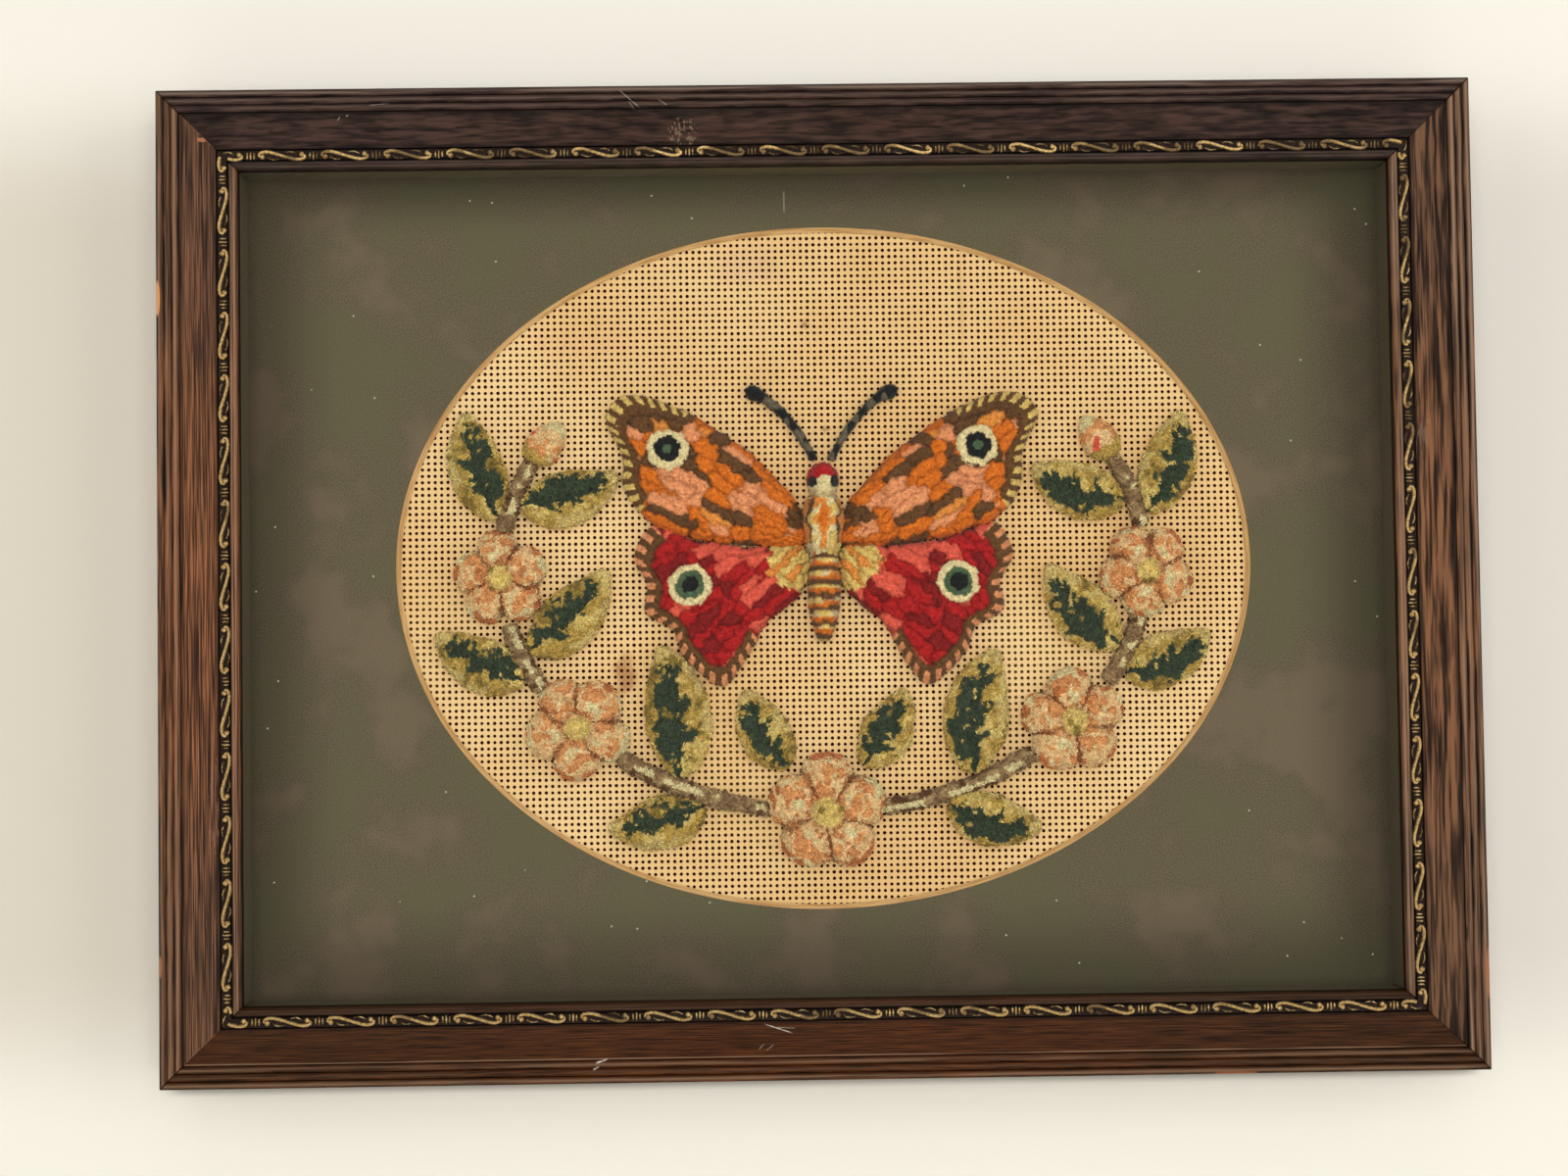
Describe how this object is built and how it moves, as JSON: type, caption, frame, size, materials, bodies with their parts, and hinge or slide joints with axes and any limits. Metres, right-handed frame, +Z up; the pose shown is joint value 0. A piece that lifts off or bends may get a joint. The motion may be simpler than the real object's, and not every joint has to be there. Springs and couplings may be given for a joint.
{
  "type": "framed stumpwork embroidery",
  "caption": "Raised wool butterfly in a wreath of flowers, worked on punched card, in an oval olive mat behind glass in a dark oak frame with gilt ornament.",
  "frame": {"origin": "middle of the flat back of the frame's top rail, where it meets the wall", "axes": "+X to the right as the picture is looked at, +Z up, +Y back into the wall, so that the picture faces -Y"},
  "size_m": [0.365, 0.0295, 0.275],
  "materials": {
    "oak": "dark stained oak, worn satin",
    "gilt": "rubbed gilt on a dark ground",
    "glass": "clear picture glass",
    "olive_board": "matt, faintly fibrous",
    "card": "aged, matt, punched",
    "backing": "matt strawboard",
    "wool_orange": "sheared wool pile",
    "wool_red": "sheared wool pile",
    "wool_cream": "sheared wool pile",
    "wool_dark": "wool pile",
    "wool_pink": "looped and sheared wool pile",
    "wool_green": "looped wool pile",
    "wool_brown": "looped wool pile"
  },
  "bodies": {
    "root": {"rail_top": "oak", "rail_right": "oak", "rail_bottom": "oak", "rail_left": "oak", "gilt_strip_top": "gilt", "gilt_strip_right": "gilt", "gilt_strip_bottom": "gilt", "gilt_strip_left": "gilt", "glass": "glass", "fillet_top": "olive_board", "fillet_right": "olive_board", "fillet_bottom": "olive_board", "fillet_left": "olive_board", "mat": "olive_board", "perforated_card": "card", "backing_board": "backing", "forewing_right": "wool_orange", "forewing_left": "wool_orange", "hindwing_right": "wool_red", "hindwing_left": "wool_red", "butterfly_body": "wool_cream", "antenna_right": "wool_dark", "antenna_left": "wool_dark", "flower_low": "wool_pink", "flower_side_right": "wool_pink", "flower_side_left": "wool_pink", "flower_high_right": "wool_pink", "flower_high_left": "wool_pink", "bud_right": "wool_pink", "bud_left": "wool_pink", "leaf_a_right": "wool_green", "leaf_a_left": "wool_green", "leaf_b_right": "wool_green", "leaf_b_left": "wool_green", "leaf_c_right": "wool_green", "leaf_c_left": "wool_green", "leaf_d_right": "wool_green", "leaf_d_left": "wool_green", "leaf_e_right": "wool_green", "leaf_e_left": "wool_green", "leaf_f_right": "wool_green", "leaf_f_left": "wool_green", "leaf_low_right": "wool_green", "leaf_low_left": "wool_green", "stem_low_right": "wool_brown", "stem_low_left": "wool_brown", "stem_middle_right": "wool_brown", "stem_middle_left": "wool_brown", "stem_high_right": "wool_brown", "stem_high_left": "wool_brown"}
  },
  "joints": []
}
